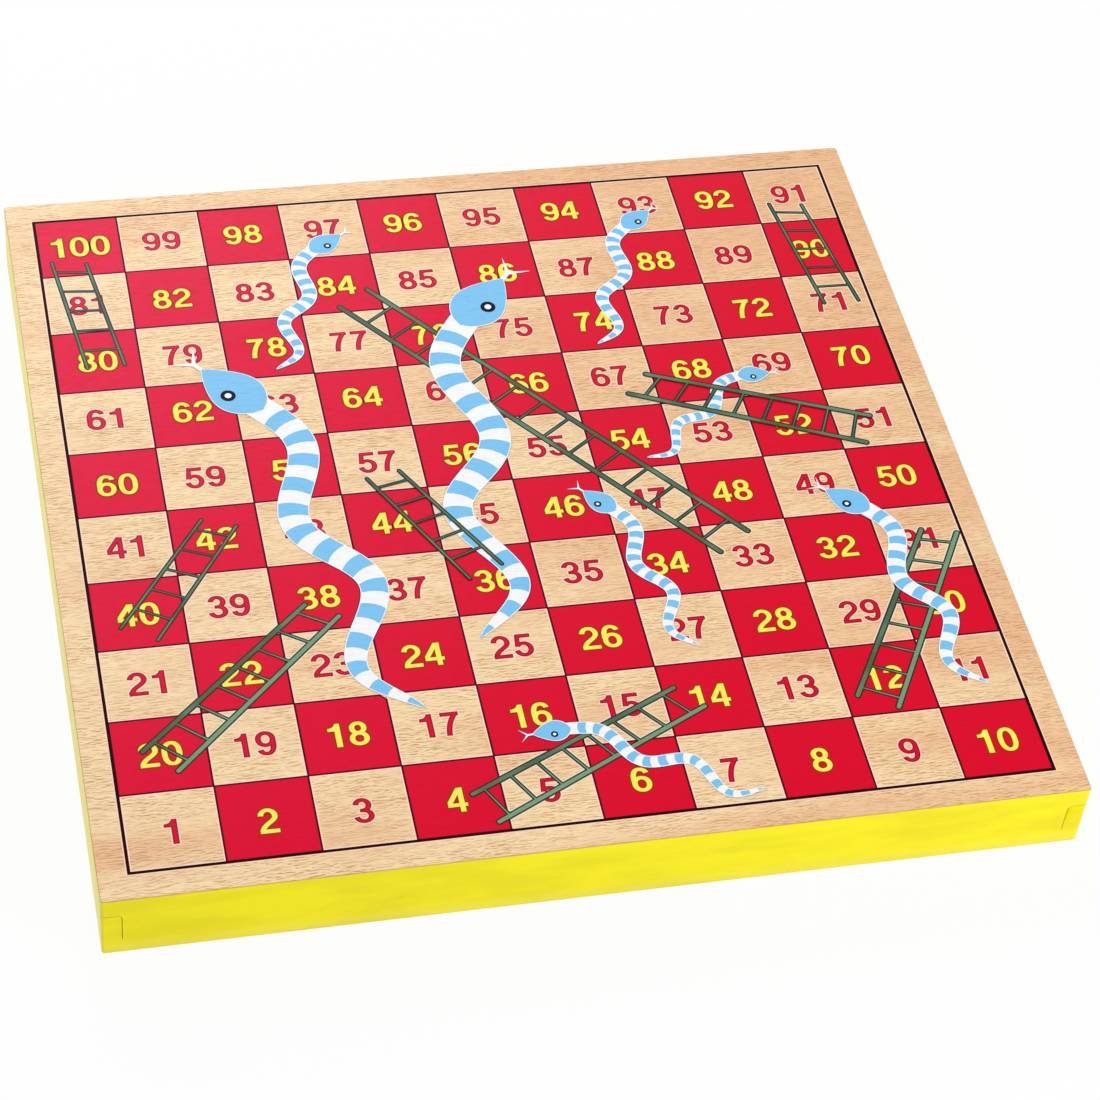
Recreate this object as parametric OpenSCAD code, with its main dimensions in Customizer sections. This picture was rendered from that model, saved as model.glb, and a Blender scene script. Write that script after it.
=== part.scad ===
// A snakes and ladders board on a shallow wooden box.
// The printed board closes the top. Four painted rails with finger joints make the walls, and a thin
// lid slides out under the back rail, so that the pawns and the die are kept inside.
// The origin is at the middle of the underside, +X runs along the front rail, and +Y goes to the back.

/* [Box] */
// Side of the square board and of the box
board_w = 300; // [260:5:360]
// Height of the box, without the print
box_h = 25; // [24.5:0.5:32]
// Thickness of the playing board
board_t = 3; // [2:0.25:3.5]
// Thickness of the rails
rail_t = 6; // [5:0.25:9]
// Radius of the upright corners
corner_r = 1; // [0.5:0.25:3]

/* [Corner joints] */
// Height of the side rails' finger
finger_h = 11; // [8:0.25:12]
// Height of the lower lap, under the finger
lap_h = 6.5; // [6.25:0.25:8]
// Radius of the finger's upper inner edge, as the cutter leaves it
finger_r = 1.2; // [0.5:0.1:2]
// Open joint over and beside the finger
joint_gap = 0.2; // [0.1:0.05:0.3]

/* [Sliding lid] */
// Thickness of the lid
lid_t = 3; // [2.5:0.1:3.1]
// Height of the lid's underside above the table
lid_lift = 2.5; // [2:0.1:2.6]
// Depth of the lid's groove in the rails
groove_d = 3; // [2:0.1:3.5]
// Room above and below the lid in its groove
lid_play = 0.25; // [0.15:0.05:0.4]
// Room between the lid's edge and the groove's bottom
lid_edge_gap = 0.5; // [0.3:0.1:0.8]
// Room under the pull strip
strip_lift = 0.4; // [0.3:0.1:0.8]
// Radius of the thumb scoop in the lid
thumb_r = 11; // [8:0.5:14]
// Depth of the thumb scoop
thumb_d = 1.4; // [0.8:0.1:1.6]
// Distance from the pull strip to the middle of the scoop
thumb_inset = 20; // [16:1:40]

/* [Inside] */
// Thickness of the rib and of the bin divider
rib_t = 4; // [3:0.25:6]
// Room between the ribs and the lid
rib_gap = 0.5; // [0.3:0.1:1]
// Room in the halved joint where the rib and the divider cross
lap_gap = 0.1; // [0.05:0.05:0.2]
// Depth of the front bins, from the front rail
bin_d = 55; // [45:1:90]

/* [Print] */
// Bare wood from the playing grid to the edge of the board
margin = 9.5; // [7:0.5:20]
// Thickness of one layer of ink
ink_t = 0.06; // [0.03:0.01:0.12]
// Width of the lines between squares
line_w = 0.5; // [0.3:0.05:0.8]
// Width of the border line
border_w = 1; // [0.8:0.1:2]
// Width of a ladder's rail
ladder_rail_w = 2.3; // [1.5:0.1:3]
// Width of a ladder's rung
rung_w = 1.4; // [1:0.1:2.2]
// Width of a short ladder's rail
short_rail_w = 1.6; // [1:0.1:2.2]
// Width of a short ladder's rung
short_rung_w = 1.2; // [0.8:0.1:1.8]
// White edge round a snake's bands and head
snake_edge = 0.35; // [0.2:0.05:0.6]

/* [Pawns and die] */
// Room between a loose piece and the board over it
loose_play = 1.2; // [0.8:0.1:3]
// Height of a pawn's foot disc
pawn_foot_h = 2.5; // [2:0.25:4]
// Diameter of a pawn's head
pawn_head_d = 10; // [8:0.5:11]
// Diameter of a pawn's neck
pawn_neck_d = 5.5; // [4:0.25:7]
// Height of a pawn
pawn_h = 27; // [24:0.5:32]
// How far the die's round corners are cut back, as a share of its side
die_trim_share = 0.133; // [0.07:0.005:0.17]
// Diameter of a pip, as a share of the die's side
pip_share = 0.173; // [0.13:0.005:0.2]
// Space between two pips of a row, as a share of the die's side
pip_pitch_share = 0.253; // [0.22:0.005:0.26]
// Depth of a pip
pip_depth = 0.5; // [0.3:0.05:0.8]
// Gap between a loose piece and the lid under it
rest_gap = 0.3; // [0.2:0.05:0.4]
// Space from one pawn to the next
pawn_pitch = 24; // [20:0.5:30]

/* [Hidden] */
$fn = 64;
// Overrun of a cut past the face that it opens
over = 1;

squares_per_side = 10;
grid_w = board_w - 2 * margin;
square = grid_w / squares_per_side;
half = board_w / 2;
inner = half - rail_t;
rail_h = box_h - board_t;
lid_top = lid_lift + lid_t;
lid_half = inner + groove_d - lid_edge_gap;
rib_z = lid_top + rib_gap;
rib_h = rail_h - rib_z;
divider_y = -inner + bin_d + rib_t / 2;
bin_y = -inner + bin_d / 2;
// A pawn's foot and the die fill the height of the bins, so that neither rattles much.
loose_h = rail_h - lid_top - rest_gap - loose_play;
pawn_foot_d = loose_h;
die_side = loose_h;

beech = "burlywood";
yellow_paint = "gold";

// What is printed first lies lowest: squares and lines, ladders, snakes, and what crosses a snake.
squares_layer = 0;
ladder_layer = 1;
snake_layer = 2;
band_layer = 3;
crossing_layer = 4;

// Red squares that lose a corner beside a snake: the column and the row, the corner's side (-1 is left, 1 is
// right) and end (-1 is front, 1 is back), and how much of the square's side is cut.
cut_corner_shares = [
    [9, 4, -1, -1, 0.13],
    [8, 3, 1, 1, 0.16],
    [3, 4, -1, -1, 0.1],
    [2, 3, 1, 1, 0.28],
    [2, 3, 1, -1, 0.18],
    [3, 2, -1, 1, 0.13],
    [3, 2, -1, -1, 0.15],
    [2, 1, 1, 1, 0.07]
];

// Ladders, in squares from the grid's front left corner: the foot and top of the left rail, the foot and
// top of the right rail, the number of rungs, the rails' bare ends at the foot and at the top, and the layer.
ladder_shares = [
    [[0.32, 1.56], [2.33, 3.39], [0.66, 1.25], [2.68, 3.18], 8, 0.17, 0.15, ladder_layer],
    [[3.68, 0.52], [6.14, 1.67], [3.89, 0.12], [6.42, 1.37], 8, 0.14, 0.17, ladder_layer],
    [[8.14, 1.29], [9.55, 3.62], [8.55, 1.07], [9.95, 3.52], 8, 0.13, 0.16, ladder_layer],
    [[0.29, 3.31], [1.37, 4.81], [0.67, 3.09], [1.75, 4.67], 5, 0.32, 0.17, ladder_layer],
    [[4.22, 3.54], [3.33, 5.21], [4.62, 3.71], [3.72, 5.29], 5, 0.35, 0.18, crossing_layer],
    [[7.14, 3.58], [3.48, 8.09], [7.53, 3.86], [3.86, 8.36], 14, 0.27, 0.42, ladder_layer],
    [[9.29, 5.07], [6.65, 6.21], [9.45, 5.50], [6.93, 6.51], 8, 0.17, 0.19, crossing_layer],
    [[9.42, 7.48], [9.19, 9.35], [9.86, 7.48], [9.60, 9.29], 5, 0.30, 0.16, ladder_layer],
    [[0.37, 7.39], [0.14, 9.26], [0.81, 7.40], [0.55, 9.20], 5, 0.30, 0.17, ladder_layer]
];
// A ladder of so many rungs or fewer is short, and is drawn thinner.
short_rungs = 5;

// Snakes, in squares: the neck, the tip of the tail, the side that the body swings to first (1 or -1),
// and the body's width. The last value is where the head looks, in degrees from the +X axis.
snake_shares = [
    [[4.86, 1.26], [6.82, 0.17], -1, 0.165, 184],
    [[8.99, 4.04], [9.66, 1.26], -1, 0.22, 139],
    [[6.05, 4.39], [6.58, 2.22], -1, 0.18, 131],
    [[8.07, 6.36], [6.63, 5.15], 1, 0.155, 0],
    [[7.27, 9.14], [6.46, 7.09], 1, 0.185, 36],
    [[3.32, 9.14], [2.56, 7.11], 1, 0.19, 32],
    [[4.94, 7.69], [4.17, 2.65], 1, 0.38, 48],
    [[2.25, 6.54], [3.40, 1.75], -1, 0.37, 130]
];
// The wave that every body follows: its number of waves, the part of a wave that it gains towards the tip,
// and where in a wave it starts
snake_waves = 1.98;
gained_wave_share = 0.19;
wave_start_share = -0.54;
// Its swing at the neck as a share of the snake's length, and the share by which it has grown at the tip
swing_share = 0.043;
swing_growth_share = 0.46;
// Bands, blue ones and white ones, from the first blue one to the tip, where the first one starts, and how
// far a band's ends bulge towards the head
snake_bands = 27;
first_band_share = 0.05;
bulge_share = 0.09;
// How late the body tapers and how round its taper is, how late the head widens from the nose, and how blunt
// its ends are
tail_power = 3.6;
taper_power = 0.6;
head_power = 1.35;
blunt_power = 0.65;
// As shares of the body's width: the head's length and width, how far it reaches over the body, and the
// tongue's stem, prongs and thickness
head_length_share = 2.4;
head_width_share = 1.76;
head_back_share = 0.3;
tongue_stem_share = 0.3;
tongue_prong_share = 0.75;
tongue_width_share = 0.15;
tongue_spread = 46;
// As shares of the body's width: the eye, its gleam, and where it lies from the neck and down the head
eye_share = 0.24;
gleam_share = 0.11;
eye_along_share = 0.95;
eye_down_share = 0.3;
body_steps = 84;
head_steps = 20;
band_steps = 4;
end_steps = 10;

pawns = 4;
// The board's outline: a square with round corners.
module box_plan() {
    square([board_w - 2 * corner_r, board_w], center = true);
    square([board_w, board_w - 2 * corner_r], center = true);
    for (x = [-1, 1], y = [-1, 1])
        translate([x * (half - corner_r), y * (half - corner_r)])
            circle(corner_r);
}

module playing_board() {
    color(beech)
        translate([0, 0, rail_h])
            linear_extrude(board_t)
                box_plan();
}

// The end of a side rail's finger, seen from the front at the left corner. Its upper inner edge is round.
module finger_end(gap) {
    w = rail_t + gap;
    h = finger_h + gap;
    r = finger_r + gap;
    square([w - r, h]);
    square([w, h - r]);
    translate([w - r, h - r])
        circle(r);
}

// Both corner notches of a front or back rail, which take the side rails' fingers.
module finger_notches() {
    for (side = [0, 1])
        mirror([side, 0])
            translate([-half, lap_h])
                finger_end(joint_gap);
}

// A rail across the box, from height z0 up, standing at the front.
module cross_rail(z0) {
    intersection() {
        translate([0, -inner, 0])
            rotate([90, 0, 0])
                linear_extrude(rail_t)
                    difference() {
                        translate([-half, z0])
                            square([board_w, rail_h - z0]);
                        finger_notches();
                    }
        linear_extrude(rail_h)
            box_plan();
    }
}

// The space that the lid's edges run in. It is open at the back.
module lid_groove() {
    reach = inner + groove_d;
    translate([-reach, -reach, lid_lift - lid_play])
        cube([2 * reach, reach + half + over, lid_t + 2 * lid_play]);
}

module front_rail() {
    color(yellow_paint)
        difference() {
            cross_rail(0);
            lid_groove();
        }
}

module back_rail() {
    color(yellow_paint)
        rotate([0, 0, 180])
            cross_rail(lap_h);
}

// A side rail at the left: its core, the finger that runs through both corners, and the lower lap,
// which goes on to the back so that it guides the lid.
module side_rail() {
    difference() {
        intersection() {
            union() {
                translate([-half, -inner, 0])
                    cube([rail_t, 2 * inner, rail_h]);
                translate([-half, half, lap_h])
                    rotate([90, 0, 0])
                        linear_extrude(board_w)
                            finger_end(0);
                translate([-half, 0, 0])
                    cube([rail_t, half, lap_h]);
            }
            linear_extrude(rail_h)
                box_plan();
        }
        lid_groove();
    }
}

module left_rail() {
    color(yellow_paint)
        side_rail();
}

module right_rail() {
    color(yellow_paint)
        mirror([1, 0, 0])
            side_rail();
}

// The lid, with a scoop under its back end for the thumb. Its back edge sits in the pull strip.
module base_lid() {
    scoop_r = (thumb_r * thumb_r + thumb_d * thumb_d) / (2 * thumb_d);
    color(beech)
        difference() {
            translate([-lid_half, -lid_half, lid_lift])
                cube([2 * lid_half, lid_half + inner + rail_t / 2, lid_t]);
            translate([0, inner - thumb_inset, lid_lift + thumb_d - scoop_r])
                sphere(scoop_r);
        }
}

// The painted strip on the lid's back edge, which fills the gap under the back rail.
module lid_pull_strip() {
    strip_half = inner - lid_edge_gap;
    color(yellow_paint)
        difference() {
            translate([-strip_half, inner, strip_lift])
                cube([2 * strip_half, rail_t, lap_h - joint_gap - strip_lift]);
            translate([-strip_half - over, inner - over, lid_lift])
                cube([2 * (strip_half + over), rail_t / 2 + over, lid_t]);
        }
}

// The rib that carries the middle of the board, from the front rail to the back rail.
module centre_rib() {
    color(beech)
        difference() {
            translate([-rib_t / 2, -inner, rib_z])
                cube([rib_t, 2 * inner, rib_h]);
            translate([-rib_t / 2 - over, divider_y - rib_t / 2 - lap_gap, rib_z - over])
                cube([rib_t + 2 * over, rib_t + 2 * lap_gap, rib_h / 2 + over]);
        }
}

// The divider that makes two bins at the front. It crosses the rib in a halved joint.
module bin_divider() {
    color(beech)
        difference() {
            translate([-inner, divider_y - rib_t / 2, rib_z])
                cube([2 * inner, rib_t, rib_h]);
            translate([-rib_t / 2 - lap_gap, divider_y - rib_t / 2 - over, rib_z + rib_h / 2])
                cube([rib_t + 2 * lap_gap, rib_t + 2 * over, rib_h / 2 + over]);
        }
}

// Puts a flat shape, drawn from the grid's front left corner, on the board as one layer of ink.
module ink(layer) {
    translate([-grid_w / 2, -grid_w / 2, box_h + layer * ink_t])
        linear_extrude(ink_t)
            children();
}

// What is left of each square, or of the even ones, inside the lines round it.
module square_fields(even_only) {
    for (column = [0 : squares_per_side - 1], row = [0 : squares_per_side - 1])
        if (!even_only || (column + row) % 2 == 1)
            translate([column * square + line_w / 2, row * square + line_w / 2])
                square(square - line_w);
}

// The corners that red squares lose, from the outside of the lines. The line along a cut lies between the
// corners drawn with side -1, which are bare, and those drawn with side 1.
module cut_corners(side) {
    for (c = cut_corner_shares) {
        tip = [c[0] + 0.5 + c[2] / 2, c[1] + 0.5 + c[3] / 2] * square + [c[2], c[3]] * line_w / 2;
        reach = c[4] * square + line_w + side * line_w / sqrt(2);
        polygon([tip, tip - [c[2] * reach, 0], tip - [0, c[3] * reach]]);
    }
}

module printed_red_squares() {
    color("crimson")
        ink(squares_layer)
            difference() {
                square_fields(true);
                cut_corners(1);
            }
}

// The lines between the squares, and the wider border line round them.
module printed_grid_lines() {
    outside = border_w - line_w / 2;
    color("black")
        ink(squares_layer)
            difference() {
                translate([-outside, -outside])
                    square(grid_w + 2 * outside);
                difference() {
                    square_fields(false);
                    cut_corners(1);
                }
                cut_corners(-1);
            }
}

// A straight bar. Its ends are half circles in so many steps, and one step makes them square.
module bar(from, to, width, steps) {
    run = to - from;
    turn = atan2(run[1], run[0]);
    polygon([
        for (end = [to, from], i = [0 : steps])
            let (angle = turn + (end == to ? -90 : 90) + 180 * i / steps)
            end + width / 2 * [cos(angle), sin(angle)]
    ]);
}

// The point that lies a share of the way from one point to another.
function between(from, to, share) = from + (to - from) * share;

// A ladder: two rails, with the rungs evenly spaced between the rails' bare ends.
module ladder(l) {
    left = [l[0] * square, l[1] * square];
    right = [l[2] * square, l[3] * square];
    rungs = l[4];
    short = rungs <= short_rungs;
    first = l[5] * square / norm(left[1] - left[0]);
    last = 1 - l[6] * square / norm(left[1] - left[0]);
    for (rail = [left, right])
        bar(rail[0], rail[1], short ? short_rail_w : ladder_rail_w, end_steps);
    for (i = [0 : rungs - 1]) {
        at = between(first, last, i / (rungs - 1));
        bar(between(left[0], left[1], at), between(right[0], right[1], at), short ? short_rung_w : rung_w, 1);
    }
}

module printed_ladders() {
    color("darkgreen")
        for (l = ladder_shares)
            ink(l[7])
                ladder(l);
}

// The sine of a snake's wave at t, from 0 at the neck to 1 at the tip. It quickens towards the tip.
function snake_wave(t) = sin(360 * (snake_waves * t + gained_wave_share * t * t + wave_start_share));

// How far a snake's middle line swings off its straight run at t, as a share of the snake's length: the
// wave, leaned so that it is nothing at both ends, and growing towards the tip.
function snake_swing(t) =
    swing_share * (1 + swing_growth_share * t) * (snake_wave(t) - between(snake_wave(0), snake_wave(1), t));

// A point of a snake's middle line, and the directions along it and across it there.
function snake_point(s, t) =
    let (
        run = s[1] - s[0],
        across = [-run[1], run[0]]
    )
    (s[0] + run * t + across * s[2] * snake_swing(t)) * square;
function snake_along(s, t) =
    let (run = snake_point(s, t + 1 / body_steps) - snake_point(s, t - 1 / body_steps))
    run / norm(run);
function snake_across(s, t) = let (along = snake_along(s, t)) [-along[1], along[0]];

// Half the body's width at t. It tapers mostly near the tail.
function snake_half(s, t) = square * s[3] / 2 * pow(max(0, 1 - pow(t, tail_power)), taper_power);

// Where band b starts, as a share of the snake's length.
function band_start(b) = between(first_band_share, 1, b / snake_bands);

// A point of the body at t, at v from 1 on one edge to -1 on the other. inset draws the edges in, and
// bulge moves the middle towards the head.
function body_point(s, t, v, inset, bulge) =
    snake_point(s, t)
    + snake_across(s, t) * v * max(snake_half(s, t) - inset, snake_edge / 8)
    - snake_along(s, t) * bulge * snake_half(s, t) * 2 * (1 - v * v);

// The outline of the stretch of body from t0 to t1.
function body_outline(s, t0, t1, steps, inset, bulge) = concat(
    [for (i = [0 : steps]) body_point(s, between(t0, t1, i / steps), 1, inset, 0)],
    [for (i = [1 : band_steps - 1]) body_point(s, t1, 1 - 2 * i / band_steps, inset, bulge)],
    [for (i = [0 : steps]) body_point(s, between(t1, t0, i / steps), -1, inset, 0)],
    [for (i = [1 : band_steps - 1]) body_point(s, t0, -1 + 2 * i / band_steps, inset, bulge)]
);

// Where the head looks, and the side of it that is lower on the board.
function look_along(s) = [cos(s[4]), sin(s[4])];
function look_down(s) =
    let (side = [-look_along(s)[1], look_along(s)[0]])
    side[1] < 0 ? side : -side;
function nose(s) = (s[0] + look_along(s) * s[3] * head_length_share) * square;

// A point of the head's edge, at u from 0 at the nose to 1 at the back: an egg with a pointed nose.
function head_point(s, u, side, inset) =
    let (
        width = s[3] * square,
        length = width * (head_length_share + head_back_share) - 2 * inset,
        round = pow(sin(180 * pow(u, head_power)), blunt_power)
    )
    nose(s)
    - look_along(s) * (inset + length * u)
    + look_down(s) * side * round * (width * head_width_share / 2 - inset);

// The head's outline, down one side and back up the other.
function head_outline(s, inset) = concat(
    [for (i = [0 : head_steps]) head_point(s, i / head_steps, 1, inset)],
    [for (i = [head_steps - 1 : -1 : 1]) head_point(s, i / head_steps, -1, inset)]
);

// The forked tongue: a stem out of the nose and two pointed prongs.
module tongue(s) {
    width = s[3] * square;
    half = width * tongue_width_share / 2;
    fork = nose(s) + look_along(s) * width * tongue_stem_share;
    bar(nose(s) - look_along(s) * width * tongue_stem_share, fork, 2 * half, 1);
    for (turn = [-tongue_spread, tongue_spread])
        translate(fork)
            rotate(s[4] + turn)
                polygon([[0, -half], [width * tongue_prong_share, 0], [0, half]]);
}

// Moves what follows to a snake's eye.
module at_eye(s) {
    width = s[3] * square;
    translate(s[0] * square + look_along(s) * width * eye_along_share + look_down(s) * width * eye_down_share)
        children();
}

// Each snake in white: the body, the head's edge, the tongue, and the gleam in the eye.
module printed_snake_bodies() {
    color("white") {
        for (s = snake_shares)
            ink(snake_layer) {
                polygon(body_outline(s, 0, 1, body_steps, 0, 0));
                polygon(head_outline(s, 0));
                tongue(s);
            }
        for (s = snake_shares)
            ink(crossing_layer)
                at_eye(s)
                    circle(s[3] * square * gleam_share);
    }
}

// The blue head and every other band, over the white body.
module printed_snake_bands() {
    color("skyblue")
        for (s = snake_shares)
            ink(band_layer) {
                polygon(head_outline(s, snake_edge));
                for (b = [0 : 2 : snake_bands - 1])
                    polygon(body_outline(s, band_start(b), band_start(b + 1), band_steps, snake_edge, bulge_share));
            }
}

// The dark ring of each eye, round its gleam.
module printed_snake_eyes() {
    color("black")
        for (s = snake_shares)
            ink(crossing_layer)
                at_eye(s)
                    difference() {
                        circle(s[3] * square * eye_share);
                        circle(s[3] * square * gleam_share);
                    }
}

// A turned pawn, standing: a foot disc, a cone up to the neck, and a round head.
module pawn_shape() {
    head_r = pawn_head_d / 2;
    neck_r = pawn_neck_d / 2;
    head_z = pawn_h - head_r;
    neck_z = head_z - sqrt(head_r * head_r - neck_r * neck_r);
    cylinder(d = pawn_foot_d, h = pawn_foot_h);
    translate([0, 0, pawn_foot_h])
        cylinder(r1 = pawn_foot_d / 2, r2 = neck_r, h = neck_z - pawn_foot_h);
    translate([0, 0, head_z])
        sphere(head_r);
}

// A pawn that lies on the lid, on the rim of its foot and on its head, in the left bin.
module lying_pawn(place) {
    foot_r = pawn_foot_d / 2;
    head_r = pawn_head_d / 2;
    reach = pawn_h - head_r - pawn_foot_h;
    tilt = atan(foot_r / reach) - asin(head_r / norm([reach, foot_r]));
    translate([-inner / 2 + (place - (pawns - 1) / 2) * pawn_pitch, bin_y - reach / 2, lid_top + rest_gap])
        rotate([-90 - tilt, 0, 0])
            translate([0, -foot_r, -pawn_foot_h])
                pawn_shape();
}

module pawn_red() { color("red") lying_pawn(0); }
module pawn_blue() { color("royalblue") lying_pawn(1); }
module pawn_green() { color("seagreen") lying_pawn(2); }
module pawn_yellow() { color("yellow") lying_pawn(3); }

// The places of the pips on a face, in steps from its middle.
function pip_places(number) = concat(
    number % 2 == 1 ? [[0, 0]] : [],
    number > 1 ? [[-1, -1], [1, 1]] : [],
    number > 3 ? [[-1, 1], [1, -1]] : [],
    number == 6 ? [[-1, 0], [1, 0]] : []
);

// One face's pips, cut from above.
module pips(number) {
    pitch = die_side * pip_pitch_share;
    for (p = pip_places(number))
        translate([p[0] * pitch, p[1] * pitch, die_side / 2 - pip_depth])
            cylinder(d = die_side * pip_share, h = pip_depth + over);
}

// The die, in the right bin. Opposite faces add up to seven.
module die() {
    round_r = norm([die_side, die_side, die_side]) / 2 - die_side * die_trim_share;
    color("ivory")
        translate([inner / 4, bin_y, lid_top + rest_gap + die_side / 2])
            difference() {
                intersection() {
                    cube(die_side, center = true);
                    sphere(round_r);
                }
                pips(1);
                rotate([180, 0, 0]) pips(6);
                rotate([90, 0, 0]) pips(2);
                rotate([-90, 0, 0]) pips(5);
                rotate([0, 90, 0]) pips(3);
                rotate([0, -90, 0]) pips(4);
            }
}

playing_board();
front_rail();
back_rail();
left_rail();
right_rail();
base_lid();
lid_pull_strip();
centre_rib();
bin_divider();
printed_red_squares();
printed_grid_lines();
printed_ladders();
printed_snake_bodies();
printed_snake_bands();
printed_snake_eyes();
pawn_red();
pawn_blue();
pawn_green();
pawn_yellow();
die();
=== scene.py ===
# %% [markdown]
# # A snakes and ladders board
# The object is a shallow wooden box. A thin beech board, printed with the playing chart, closes its top,
# four yellow rails with finger joints make its walls, and a thin lid slides in at the bottom. Four pawns
# and a die lie inside. The exact solids come ready made. This lesson gives them their wood, paint and
# ink, rounds the edges that a hand would feel, and adds what only ink can show: the hundred numbers and
# the thin edges of each colour.

import math

import bmesh
import bpy
import numpy as np
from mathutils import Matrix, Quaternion, Vector
from mathutils.geometry import delaunay_2d_cdt, intersect_point_line


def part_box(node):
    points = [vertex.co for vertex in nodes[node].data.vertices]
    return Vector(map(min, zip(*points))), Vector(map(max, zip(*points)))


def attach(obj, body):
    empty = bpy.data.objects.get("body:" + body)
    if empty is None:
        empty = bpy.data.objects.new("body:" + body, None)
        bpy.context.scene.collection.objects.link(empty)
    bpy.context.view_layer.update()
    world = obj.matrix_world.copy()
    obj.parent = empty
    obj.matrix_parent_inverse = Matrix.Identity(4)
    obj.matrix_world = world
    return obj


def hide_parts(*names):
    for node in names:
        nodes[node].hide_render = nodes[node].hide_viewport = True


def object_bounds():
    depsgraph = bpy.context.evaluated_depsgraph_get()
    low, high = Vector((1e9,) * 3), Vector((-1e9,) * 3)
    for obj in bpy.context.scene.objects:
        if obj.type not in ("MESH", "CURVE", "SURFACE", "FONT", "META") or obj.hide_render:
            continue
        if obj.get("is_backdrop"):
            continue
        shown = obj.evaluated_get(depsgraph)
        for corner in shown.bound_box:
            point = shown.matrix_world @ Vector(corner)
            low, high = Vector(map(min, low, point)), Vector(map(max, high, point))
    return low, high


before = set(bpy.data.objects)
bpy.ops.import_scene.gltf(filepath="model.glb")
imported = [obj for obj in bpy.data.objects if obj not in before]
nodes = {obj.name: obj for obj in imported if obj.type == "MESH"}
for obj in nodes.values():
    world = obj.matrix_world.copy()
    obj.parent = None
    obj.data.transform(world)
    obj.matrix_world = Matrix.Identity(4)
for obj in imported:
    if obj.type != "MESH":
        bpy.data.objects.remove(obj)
cad_low, cad_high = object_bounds()
# One millimetre, in the scene's metres
MM = 0.001
print("nodes:", len(nodes), "size in mm:", [round(s / MM, 2) for s in cad_high - cad_low])

# %% [markdown]
# ## The camera
# The straight lines of the chart give the camera. It looks down at the board at 47 degrees, from the
# front and a little from the left, and its lens is long, so that far squares are only a bit smaller than
# near ones. It leans by seven degrees, which makes the board rise to the right.

# %% Camera
PHOTO_PX = 1100
FOCAL_PX = 3229.3
SENSOR_MM = 36
CAMERA_PLACE = Vector((-197.4, -702.7, 777.3)) * MM
CAMERA_LOOK = Vector((0.1961, 0.6531, -0.7315))
CAMERA_ROLL = math.radians(6.93)
FRAMING_PX = (5.4, -2.1)

camera_data = bpy.data.cameras.new("camera")
camera_data.sensor_width = SENSOR_MM
camera_data.lens = FOCAL_PX / PHOTO_PX * SENSOR_MM
camera_data.shift_x = FRAMING_PX[0] / PHOTO_PX
camera_data.shift_y = FRAMING_PX[1] / PHOTO_PX
camera_data.clip_start = 0.01
camera = bpy.data.objects.new("camera", camera_data)
camera.location = CAMERA_PLACE
camera.rotation_mode = "QUATERNION"
camera.rotation_quaternion = CAMERA_LOOK.to_track_quat("-Z", "Y") @ Quaternion((0, 0, 1), CAMERA_ROLL)
bpy.context.scene.collection.objects.link(camera)
bpy.context.scene.camera = camera
print("lens:", round(camera_data.lens, 1), "mm")

# %% [markdown]
# ## Small tools for materials
# A shader is a tree of nodes. One function turns a colour from the usual hex form into the linear form
# that Blender mixes in, one darkens it, and one adds a node with its settings and its inputs, where an
# input is a value, a colour or another node's output. The kinds that come again and again have short
# names in a table. A rise is a smooth step from one value to another, taken while its input goes from low
# to high. A blend mixes two colours, a relief bends the light as uneven ground would, a split gives a
# point's coordinates one by one, and the rest is arithmetic.

# %% Colour and node helpers
def linear(hex_colour):
    """A hex colour as linear red, green, blue and alpha."""
    parts = [int(hex_colour[i : i + 2], 16) / 255 for i in (1, 3, 5)]
    return [p / 12.92 if p <= 0.04045 else ((p + 0.055) / 1.055) ** 2.4 for p in parts] + [1.0]


def shaded(hex_colour, share):
    """A hex colour, darkened to a share of itself."""
    return "#" + "".join(f"{int(int(hex_colour[i : i + 2], 16) * share):02X}" for i in (1, 3, 5))


def add(tree, kind, inputs=None, **settings):
    """Adds a node. Each input is a value, a hex colour, or an output of another node."""
    node = tree.nodes.new(kind)
    for name, value in settings.items():
        setattr(node, name, value)
    for name, value in (inputs or {}).items():
        if isinstance(value, bpy.types.NodeSocket):
            tree.links.new(value, node.inputs[name])
        elif isinstance(value, str) and value.startswith("#"):
            node.inputs[name].default_value = linear(value)
        else:
            node.inputs[name].default_value = value
    return node


# Each kind's node, its settings, its inputs in order, and the output or outputs that are read
KINDS = {
    "rise": ("ShaderNodeMapRange", {"interpolation_type": "SMOOTHSTEP"}, (0, 1, 2, 3, 4), 0),
    "blend": ("ShaderNodeMix", {"data_type": "RGBA"}, (0, 6, 7), 2),
    "relief": ("ShaderNodeBump", {}, ("Height", "Distance"), 0),
    "split": ("ShaderNodeSeparateXYZ", {}, (0,), slice(3)),
}
SUMS = ("add", "subtract", "multiply", "divide", "multiply_add", "floored_modulo")
LIMITS = ("absolute", "floor", "pingpong", "minimum", "maximum", "greater_than")
for word in SUMS + LIMITS:
    KINDS[word] = ("ShaderNodeMath", {"operation": word.upper()}, (0, 1, 2), 0)


def put(tree, kind, *values):
    """Adds a node of a kind from the table, with these values for its inputs, and gives its output."""
    name, settings, inputs, output = KINDS[kind]
    return add(tree, name, dict(zip(inputs, values)), **settings).outputs[output]


def new_material(name):
    """A material with its tree, its shader, and Object coordinates in millimetres."""
    material = bpy.data.materials.new(name)
    material.use_nodes = True
    tree = material.node_tree
    shader = tree.nodes["Principled BSDF"]
    place = add(tree, "ShaderNodeTexCoord").outputs["Object"]
    point = add(tree, "ShaderNodeVectorMath", {0: place, 3: 1 / MM}, operation="SCALE").outputs[0]
    return material, tree, shader, point


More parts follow.
